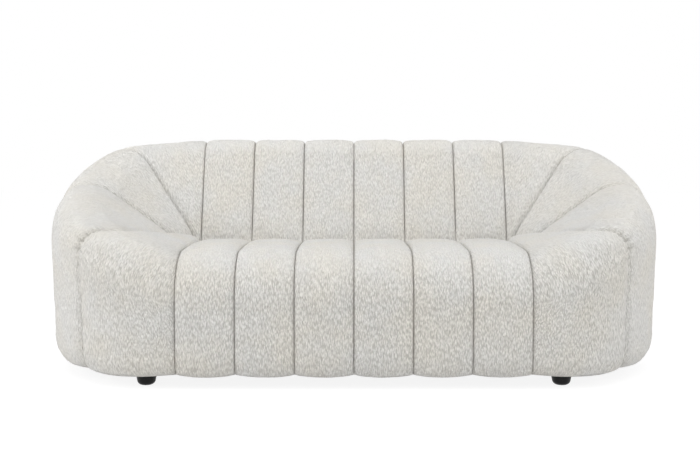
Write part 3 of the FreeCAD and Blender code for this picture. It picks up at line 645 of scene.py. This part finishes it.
# %% Outer edge of the end channel
def crease_edge():
    """Six stations along the crease, and the points behind them."""
    u = (crease["s"] - outer["s"]) / np.linalg.norm(crease["s"] - outer["s"])
    drops = {"b": np.array([0.0, -lean, -1.0]), "c": np.append(tuck_way["c"] * lean, -1.0),
             "s": np.append(u * lean, -1.0)}
    places = {n: np.append(crease[n], form[n][0]) for n in ("b", "c", "s")}
    stretches = (("b", "c", (0.0, 0.5, 1.0)), ("c", "s", (0.33, 0.66, 1.0)))
    rows, backs = [], []
    for p, q, shares in stretches:
        for t in shares:
            down = drops[p] * (1 - t) + drops[q] * t
            level = np.append(down[:2], 0.0) / np.linalg.norm(down[:2])
            base = places[p] * (1 - t) + places[q] * t + level * crease_gap
            rows.append(base)
            backs.append(base + down * seat_pad)
    return np.array(rows), np.array(backs)


def read_rows(table, row):
    """Points read from a table at fractional rows."""
    return np.column_stack([np.interp(row, np.arange(len(table)), table[:, k]) for k in range(3)])


crease_rows, crease_backs = crease_edge()
s_parts = (4, 12, 24, 60, 120, 40)
s_profile = profile_line("s", s_parts)
s_points = s_profile[0] + seam_shift("s", np.array([last_seam, front_y, 0.0]))
# Rows of the profile at which stations 5 to 15 of the end channel lie
start = np.cumsum((0,) + s_parts)
at_rows = [start[1], start[2], start[3], start[3] + 24, start[3] + 48, start[4], start[4] + 60,
           start[5], start[5] + 13.33, start[5] + 26.67, start[6]]
row = np.interp(seat_index, range(5, 16), at_rows)
over_arm = (seat_index > 5.0)[:, None]
edge = np.where(over_arm, read_rows(s_points, row), read_rows(crease_rows, seat_index))
edge_normals = np.where(over_arm, read_rows(s_profile[1], row), (0.0, 0.0, 1.0))
deep = np.interp(seat_index, (6.0, 10.0), (seat_pad, front_pad))[:, None]
edge_backs = np.where(over_arm, edge - edge_normals * deep, read_rows(crease_backs, seat_index))
edge_normals = edge_normals / np.linalg.norm(edge_normals, axis=1)[:, None]
print("length of the outer edge, mm:", round(float(lengths_along(edge)[-1])))

# %% [markdown]
# The middle line decides how the end channel bulges. It is drawn through one point for each
# station: a share of the way between the two edges, moved forwards and up or down. Below the
# roll it stands upright, out on the oval.

# %% End channels
# Share of the way to the outer edge, shift in y and rise, at stations 0 to 10
middle_table = (
    (0.5, 0.0, 0.0), (0.5, 2.0, 1.0), (0.5, 0.0, -2.0), (0.5, 0.0, -6.0), (0.5, 0.0, -9.0),
    (0.5, -4.0, -7.0), (0.52, -22.0, -2.0), (0.56, -38.0, 2.0), (0.60, -46.0, -4.0),
    (0.62, -47.0, -20.0), (0.64, -46.0, -38.0),
)


def smooth_through(values, index):
    """Smooth curve through rows of values at whole numbers, read at any index."""
    slope = np.gradient(values, axis=0)
    k = np.clip(np.floor(index).astype(int), 0, len(values) - 2)
    t = (index - k)[:, None]
    start_share = 2 * t ** 3 - 3 * t ** 2 + 1
    return (values[k] * start_share + slope[k] * (t ** 3 - 2 * t ** 2 + t)
            + values[k + 1] * (1 - start_share) + slope[k + 1] * (t ** 3 - t ** 2))


seam_x = last_seam + seam_gap / 2.0
left_at = seat_line(seam_x, np.arange(16.0))[0]
right_at = np.concatenate([crease_rows, read_rows(s_points, np.array(at_rows[1:]))])
middle_at = np.zeros((16, 3))
for k, (share, shift_y, rise) in enumerate(middle_table):
    middle_at[k] = left_at[k] * (1 - share) + right_at[k] * share + (0.0, shift_y, rise)
lower = range(len(middle_table), 16)
# Below the roll, the channel is fullest at this place of the plan
end_x, end_y = 748.0, on_outline(-71.6, 0.0)[1] + 2.0
for k in lower:
    middle_at[k] = (end_x, end_y + left_at[k][1] - front_y, left_at[k][2])
middle_at[lower[0], 2] = (middle_at[lower[0] - 1, 2] + round_top) / 2.0

inner = seat_line(seam_x, seat_index)
middle_points = smooth_through(middle_at, seat_index)
into = (inner[2] - inner[0] + edge_backs - edge) / 2.0
middle = (middle_points, (inner[1] + edge_normals) / 2.0, middle_points + into, inner[3])
depth = np.interp(seat_index, (5.0, 6.5, 9.0), (0.0, 13.0, 18.0))
gathers = np.interp(seat_index, (6.2, 7.4, 9.6, 10.6), (0.0, 1.0, 1.0, 0.0))
grooves = (soft_seam, (depth, front_seam_reach, front_seam_shade))
end_width = 340.0
add_channel("seat_end_channel", (inner, middle, (edge, edge_normals, edge_backs, inner[3])),
            seat_crown, seat_fullness, seat_power, end_width, grooves, gathers)
print("soft pieces:", len(pieces), "faces:", sum(len(p.data.polygons) for p in pieces.values()))

# %% [markdown]
# A foot is turned from black plastic: a slight taper down to a well rounded lower edge. It
# could be spun from an outline, but all four follow one rule, so a Geometry Nodes tree makes
# them. Its inputs are the sizes of the foot, in metres.

# %% Foot tree and its inputs
foot_tree = bpy.data.node_groups.new("turned_foot", "GeometryNodeTree")
foot_inputs = {}
for label, kind, value in (
    ("Place", "NodeSocketVector", (0.0, 0.0, 0.0)), ("Height", "NodeSocketFloat", 0.046),
    ("Top radius", "NodeSocketFloat", 0.036), ("Bottom radius", "NodeSocketFloat", 0.027),
    ("Edge", "NodeSocketFloat", 0.013), ("Look", "NodeSocketMaterial", None),
):
    socket = foot_tree.interface.new_socket(label, in_out="INPUT", socket_type=kind)
    if value is not None:
        socket.default_value = value
    foot_inputs[label] = socket.identifier
foot_tree.interface.new_socket("Foot", in_out="OUTPUT", socket_type="NodeSocketGeometry")
given = foot_tree.nodes.new("NodeGroupInput").outputs
print("inputs of the foot's tree:", list(foot_inputs))

# %% [markdown]
# The tree starts from a plain cylinder and gives each of its rings a height and a radius from
# the sizes. The steps between rings grow upwards, so the rounded edge gets more of them than
# its height alone would give.

# %% Foot outline
rings_around, rings_up, upward_growth = 64, 32, 1.6


def maths(operation, *values):
    """Result of a Math node of the foot's tree."""
    n = foot_tree.nodes.new("ShaderNodeMath")
    n.operation = operation
    for socket, value in zip(n.inputs, values):
        if isinstance(value, float):
            socket.default_value = value
        else:
            foot_tree.links.new(value, socket)
    return n.outputs[0]


rings = foot_tree.nodes.new("GeometryNodeMeshCylinder")
for label, value in (("Vertices", rings_around), ("Side Segments", rings_up), ("Radius", 1.0),
                     ("Depth", 1.0)):
    rings.inputs[label].default_value = value
ring = foot_tree.nodes.new("ShaderNodeSeparateXYZ")
foot_tree.links.new(foot_tree.nodes.new("GeometryNodeInputPosition").outputs[0], ring.inputs[0])
from_floor = maths("MAXIMUM", maths("ADD", ring.outputs[2], 0.5), 0.0)
share = maths("POWER", from_floor, upward_growth)
height = maths("MULTIPLY", share, given["Height"])
taper = maths("SUBTRACT", given["Top radius"], given["Bottom radius"])
side = maths("MULTIPLY_ADD", share, taper, given["Bottom radius"])
above = maths("MAXIMUM", maths("SUBTRACT", given["Edge"], height), 0.0)
edge_square = maths("MULTIPLY", given["Edge"], given["Edge"])
squares = maths("SUBTRACT", edge_square, maths("MULTIPLY", above, above))
rounding = maths("SUBTRACT", given["Edge"], maths("SQRT", maths("MAXIMUM", squares, 0.0)))
radius = maths("SUBTRACT", side, rounding)
print("nodes for the outline:", len(foot_tree.nodes))

# %% [markdown]
# At its end the tree moves the points, takes the foot to its place and gives it its material.
# Nothing is instanced here, but Realize Instances stays in, so that the tree may later be used
# on many points.

# %% End of the foot tree
point = foot_tree.nodes.new("ShaderNodeCombineXYZ")
foot_tree.links.new(maths("MULTIPLY", ring.outputs[0], radius), point.inputs[0])
foot_tree.links.new(maths("MULTIPLY", ring.outputs[1], radius), point.inputs[1])
foot_tree.links.new(height, point.inputs[2])
last = rings.outputs["Mesh"]
for kind, label, source in (
    ("GeometryNodeSetPosition", "Position", point.outputs[0]),
    ("GeometryNodeTransform", "Translation", given["Place"]),
    ("GeometryNodeSetShadeSmooth", None, None),
    ("GeometryNodeRealizeInstances", None, None),
    ("GeometryNodeSetMaterial", "Material", given["Look"]),
):
    n = foot_tree.nodes.new(kind)
    foot_tree.links.new(last, n.inputs[0])
    if label:
        foot_tree.links.new(source, n.inputs[label])
    last = n.outputs[0]
foot_tree.links.new(last, foot_tree.nodes.new("NodeGroupOutput").inputs[0])
print("nodes in the foot's tree:", len(foot_tree.nodes))

# %% [markdown]
# The plastic is nearly black with a dull shine. Each foot's place is an input of its tree, so
# its object stays at the origin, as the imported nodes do. The result is taken as a plain mesh
# and the object with the live tree is thrown away.

# %% Feet
def material(name, colour, roughness, metallic=0.0):
    """A plain material of one colour."""
    m = bpy.data.materials.new(name)
    m.use_nodes = True
    shader = m.node_tree.nodes["Principled BSDF"]
    shader.inputs["Base Color"].default_value = (*colour, 1.0)
    shader.inputs["Roughness"].default_value = roughness
    shader.inputs["Metallic"].default_value = metallic
    return m


def foot_piece(name, x, y):
    """A foot at its place, as a plain mesh."""
    maker = bpy.data.objects.new("foot_maker", bpy.data.meshes.new("foot_maker"))
    bpy.context.scene.collection.objects.link(maker)
    modifier = maker.modifiers.new("turned_foot", "NODES")
    modifier.node_group = foot_tree
    modifier[foot_inputs["Place"]] = (x / 1000.0, y / 1000.0, 0.0)
    modifier[foot_inputs["Look"]] = foot_black
    ready = maker.evaluated_get(bpy.context.evaluated_depsgraph_get())
    piece = bpy.data.objects.new(name, bpy.data.meshes.new_from_object(ready))
    bpy.context.scene.collection.objects.link(piece)
    bpy.data.objects.remove(maker)
    return piece


foot_black = material("foot_black", (0.008, 0.008, 0.008), 0.4)
foot_black.node_tree.nodes["Principled BSDF"].inputs["Specular IOR Level"].default_value = 0.2
foot_x, front_foot_y, rear_foot_y = 673.0, -346.0, 334.0
feet = {}
for row_name, y in (("front", front_foot_y), ("rear", rear_foot_y)):
    for side_name, x in (("left", -foot_x), ("right", foot_x)):
        place = row_name + "_" + side_name
        feet["foot_" + place] = foot_piece("turned_foot_" + place, x, y)
print("feet:", len(feet), "faces of one:", len(feet["foot_front_left"].data.polygons))

# %% [markdown]
# The cover is a curly pile in warm white. Its curls are lobes a few millimetres wide that lie
# in short streaks down the channels. Real strands would be millions of curves, and at the
# distance of a room they read as small lights and darks. So the pile is a pattern: rounded
# cells for the curls, stretched along the channel and bent by a slow noise, and a finer noise
# on top for the loose ends.

# %% Pile pattern
pile = material("curly_pile", (0.80, 0.785, 0.755), 0.95)
tree = pile.node_tree
pile_shader = tree.nodes["Principled BSDF"]
pile_shader.inputs["Specular IOR Level"].default_value = 0.12
pile_shader.inputs["Sheen Weight"].default_value = 0.2
pile_shader.inputs["Sheen Roughness"].default_value = 0.6


def node(kind, **values):
    """A node of the pile's tree, with values for its inputs or its settings."""
    n = tree.nodes.new(kind)
    for key, value in values.items():
        if key in n.inputs:
            n.inputs[key].default_value = value
        else:
            setattr(n, key, value)
    return n


def join(a, output, b, socket):
    """A link from an output of one node to an input of another."""
    tree.links.new(a.outputs[output], b.inputs[socket])


pile_map = node("ShaderNodeUVMap", uv_map="pile")
solid = node("ShaderNodeTexCoord")
bend = node("ShaderNodeTexNoise", Scale=70.0, Detail=1.0, Roughness=0.5)
join(solid, "Object", bend, "Vector")
shift = node("ShaderNodeVectorMath", operation="MULTIPLY_ADD")
shift.inputs[1].default_value = (0.004, 0.004, 0.004)
join(bend, "Color", shift, 0)
join(pile_map, "UV", shift, 2)
stretch = node("ShaderNodeMapping", Scale=(1.0, 0.31, 1.0))
join(shift, "Vector", stretch, "Vector")
curls = node("ShaderNodeTexVoronoi", feature="SMOOTH_F1", Scale=215.0, Smoothness=0.2, Randomness=1.0)
curls.voronoi_dimensions = "2D"
join(stretch, "Vector", curls, "Vector")
fuzz = node("ShaderNodeTexNoise", Scale=290.0, Detail=3.0, Roughness=0.6, Distortion=0.2)
join(stretch, "Vector", fuzz, "Vector")
print("nodes of the pattern:", len(tree.nodes))

# %% [markdown]
# The pattern works twice, as relief in the surface and as painted shade in the colour, because light is
# lost between the curls. A strong relief alone would make the cover grey and clumpy, so the painted
# shade carries most of it. Where the cover is level, light from above fills the pile, so there the
# painted shade is evened out, and over the wall it is kept weaker too.

# %% Pile relief and painted shade between the curls
lobes = node("ShaderNodeMapRange")
for label, value in (("From Min", 0.05), ("From Max", 0.62), ("To Min", 0.55), ("To Max", 0.0)):
    lobes.inputs[label].default_value = value
join(curls, "Distance", lobes, "Value")
height = node("ShaderNodeMath", operation="MULTIPLY_ADD")
join(fuzz, "Fac", height, 0)
height.inputs[1].default_value = 1.4
join(lobes, "Result", height, 2)
bump = node("ShaderNodeBump", Strength=1.0, Distance=0.004)
join(height, "Value", bump, "Height")
join(bump, "Normal", pile_shader, "Normal")
share = node("ShaderNodeMapRange")
share.inputs["From Min"].default_value = 0.60
share.inputs["From Max"].default_value = 1.35
join(height, "Value", share, "Value")
shade_tone = node("ShaderNodeMix", data_type="RGBA")
join(share, "Result", shade_tone, 0)
# Colours of the painted shade down between the curls and of the curls' tops
shade_tone.inputs[6].default_value = (0.555, 0.54, 0.505, 1.0)
shade_tone.inputs[7].default_value = (0.95, 0.935, 0.90, 1.0)
curl_shade_share = node("ShaderNodeAttribute", attribute_name="curl_shade_share")
evened_curl_shade = node("ShaderNodeMix", data_type="RGBA")
join(curl_shade_share, "Fac", evened_curl_shade, 0)
# The plain colour where the painted shade between the curls is evened out
evened_curl_shade.inputs[6].default_value = (0.78, 0.77, 0.745, 1.0)
tree.links.new(shade_tone.outputs[2], evened_curl_shade.inputs[7])
print("relief of the pile, mm:", round(bump.inputs["Distance"].default_value * 1000.0, 1))

# %% [markdown]
# Down in a seam shade falls, so there the colour gets a darker, browner painted shade, as it does
# between the folds. The finer noise breaks that painted shade up, because curls reach over the thread.
# A very slow noise at last warms and cools the white by a hair, as in any dyed cloth.

# %% Painted seam shade and tint
shade_amount = node("ShaderNodeAttribute", attribute_name="shade")
broken = node("ShaderNodeMath", operation="MULTIPLY")
join(shade_amount, "Fac", broken, 0)
join(fuzz, "Fac", broken, 1)
seam_shade_tone = node("ShaderNodeMix", data_type="RGBA")
join(broken, "Value", seam_shade_tone, 0)
tree.links.new(evened_curl_shade.outputs[2], seam_shade_tone.inputs[6])
# Colour of the painted shade in the seams and between the folds
seam_shade_tone.inputs[7].default_value = (0.30, 0.285, 0.25, 1.0)
patch = node("ShaderNodeTexNoise", Scale=7.0, Detail=2.0, Roughness=0.5)
join(solid, "Object", patch, "Vector")
cast = node("ShaderNodeValToRGB")
for element, position, colour in zip(cast.color_ramp.elements, (0.35, 0.65),
                                     ((1.0, 0.985, 0.955, 1.0), (0.985, 0.99, 1.0, 1.0))):
    element.position = position
    element.color = colour
join(patch, "Fac", cast, "Fac")
tint = node("ShaderNodeMix", data_type="RGBA", blend_type="MULTIPLY")
tint.inputs["Factor"].default_value = 1.0
tree.links.new(seam_shade_tone.outputs[2], tint.inputs[6])
tree.links.new(cast.outputs["Color"], tint.inputs[7])
tree.links.new(tint.outputs[2], pile_shader.inputs["Base Color"])
print("nodes of the pile:", len(tree.nodes))

# %% [markdown]
# The frame's woods, cloths and metals are plain colours: nobody sees them once the sofa is
# closed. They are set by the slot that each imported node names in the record.

# %% Hidden materials
looks = {
    "foam": material("foam", (0.85, 0.80, 0.60), 0.9),
    "webbing": material("webbing", (0.05, 0.05, 0.05), 0.8),
    "felt": material("felt", (0.30, 0.30, 0.29), 0.95),
    "dust_cloth": material("dust_cloth", (0.03, 0.03, 0.03), 0.9),
    "bolt_steel": material("bolt_steel", (0.55, 0.55, 0.56), 0.35, 1.0),
    "foot_plastic": foot_black,
    "timber": material("timber", (0.55, 0.40, 0.24), 0.7),
    "thin_board": material("thin_board", (0.40, 0.30, 0.19), 0.75),
    "plywood": material("plywood", (0.60, 0.46, 0.29), 0.7),
}
slots = {p["node"]: p["material_slot"] for p in frame["record"]["subparts"]}
dressed = 0
for name, packed in frame["nodes"].items():
    look = looks.get(slots.get(name))
    if look:
        packed.data.materials.clear()
        packed.data.materials.append(look)
        dressed += 1
print("packed nodes with a plain material:", dressed)

# %% [markdown]
# Every soft channel and every foot stands in for its imported node and rides on the one body.

# %% Pieces and their nodes
for name, piece in pieces.items():
    piece.data.materials.append(pile)
    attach(piece, "root")
    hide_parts(name)
for name, piece in feet.items():
    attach(piece, "root")
    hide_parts(name)
print("pieces that stand for packed nodes:", len(pieces) + len(feet))

# %% [markdown]
# The sofa stands in a white studio. Floor and surround look white to the camera, and in
# mirrors and glass, by their own glow, while the light on the sofa stays as low as its pale
# cover needs. The floor keeps a little plain colour, which holds the faint shadow.

# %% Floor
def seen_rays(tree):
    """One for rays from the camera, from mirror-like surfaces and through glass, else zero."""
    path = tree.nodes.new("ShaderNodeLightPath")
    first = tree.nodes.new("ShaderNodeMath")
    second = tree.nodes.new("ShaderNodeMath")
    first.operation = second.operation = "MAXIMUM"
    tree.links.new(path.outputs["Is Camera Ray"], first.inputs[0])
    tree.links.new(path.outputs["Is Glossy Ray"], first.inputs[1])
    tree.links.new(first.outputs[0], second.inputs[0])
    tree.links.new(path.outputs["Is Transmission Ray"], second.inputs[1])
    return second.outputs[0]


bpy.ops.mesh.primitive_plane_add(size=30.0, location=(0.0, 0.0, 0.0))
floor = bpy.context.object
floor.name = "studio_floor"
floor_look = material("floor_white", (0.80, 0.80, 0.80), 0.95)
floor_tree = floor_look.node_tree
plain = floor_tree.nodes.new("ShaderNodeBsdfDiffuse")
plain.inputs["Color"].default_value = (0.18, 0.18, 0.18, 1.0)
glow = floor_tree.nodes.new("ShaderNodeEmission")
glow.inputs["Strength"].default_value = 0.89
both = floor_tree.nodes.new("ShaderNodeAddShader")
choice = floor_tree.nodes.new("ShaderNodeMixShader")
floor_tree.links.new(plain.outputs[0], both.inputs[0])
floor_tree.links.new(glow.outputs[0], both.inputs[1])
floor_tree.links.new(seen_rays(floor_tree), choice.inputs[0])
floor_tree.links.new(floor_tree.nodes["Principled BSDF"].outputs[0], choice.inputs[1])
floor_tree.links.new(both.outputs[0], choice.inputs[2])
floor_tree.links.new(choice.outputs[0], floor_tree.nodes["Material Output"].inputs["Surface"])
floor.data.materials.append(floor_look)
floor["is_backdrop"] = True
print("floor of", tuple(round(v) for v in floor.dimensions[:2]), "metres")

# %% [markdown]
# A large soft lamp overhead makes the seat and the crest the brightest. The lamp on the left is
# smaller and stronger than the one on the right, which models the arms. A weak lamp from the
# front lifts the seat's face and the back, and one from behind keeps the rear from going grey.

# %% Lamps
def area_light(name, place, target, size, power):
    """A flat lamp of a size in metres and a power in watts, turned to a target."""
    lamp = bpy.data.lights.new(name, "AREA")
    lamp.shape = "RECTANGLE"
    lamp.size, lamp.size_y = size
    lamp.energy = power
    obj = bpy.data.objects.new(name, lamp)
    obj.location = place
    obj.rotation_euler = (Vector(target) - Vector(place)).to_track_quat("-Z", "Y").to_euler()
    bpy.context.scene.collection.objects.link(obj)
    return obj


area_light("overhead", (0.0, -1.0, 3.4), (0.0, 0.0, 0.4), (3.6, 2.4), 44.0)
area_light("side_left", (-3.4, -1.4, 1.5), (-0.6, 0.0, 0.4), (1.4, 1.4), 39.0)
area_light("side_right", (3.4, -1.4, 1.5), (0.6, 0.0, 0.4), (1.8, 1.8), 28.0)
area_light("front", (0.0, -4.6, 2.4), (0.0, 0.0, 0.4), (3.0, 1.6), 12.0)
area_light("rear", (0.0, 3.4, 1.8), (0.0, 0.3, 0.4), (2.4, 1.4), 11.0)
print("lamps:", len(bpy.data.lights))

# %% [markdown]
# The surround lights the sofa evenly from everywhere, as the walls of a white room would. What
# the camera sees of it is a second, plain white, so that this light can be set by itself.

# %% World
world = bpy.data.worlds.new("studio")
bpy.context.scene.world = world
world.use_nodes = True
studio = world.node_tree
surround = studio.nodes["Background"]
surround.inputs["Color"].default_value = (1.0, 1.0, 1.0, 1.0)
surround.inputs["Strength"].default_value = 0.61
white = studio.nodes.new("ShaderNodeBackground")
white.inputs["Color"].default_value = (1.0, 1.0, 1.0, 1.0)
white.inputs["Strength"].default_value = 1.0
mixer = studio.nodes.new("ShaderNodeMixShader")
studio.links.new(seen_rays(studio), mixer.inputs[0])
studio.links.new(surround.outputs[0], mixer.inputs[1])
studio.links.new(white.outputs[0], mixer.inputs[2])
studio.links.new(mixer.outputs[0], studio.nodes["World Output"].inputs["Surface"])
print("strength of the light from all around:", round(surround.inputs["Strength"].default_value, 2))

# %% [markdown]
# The camera stands in front, a little above the arms, and looks down by two degrees. Its
# distance and height were fitted to the seams in the photograph, and a small shift puts the
# sofa where it is in that picture's frame.

# %% Camera
image_width, focal_pixels = 700.0, 1063.52
camera_distance, camera_height, camera_pitch = 3.77209, 0.75677, 2.2
shift_right, shift_down = 3.9, 42.76
bpy.context.scene.view_settings.view_transform = "Standard"
lens = bpy.data.cameras.new("camera")
lens.sensor_width = 36.0
lens.lens = lens.sensor_width * focal_pixels / image_width
lens.shift_x = -shift_right / image_width
lens.shift_y = -shift_down / image_width
camera = bpy.data.objects.new("camera", lens)
camera.location = (0.0, -camera_distance, camera_height)
camera.rotation_euler = (math.radians(90.0 - camera_pitch), 0.0, 0.0)
bpy.context.scene.collection.objects.link(camera)
bpy.context.scene.camera = camera
print("focal length, mm:", round(lens.lens, 2))

# %% Sizes and finish
size_end = [list(corner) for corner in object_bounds()]
grown = np.abs(np.array(size_end) - np.array(size_start)).max() * 1000.0
print("the dressed sofa stands past the packed one by at most, mm:", round(float(grown), 1))
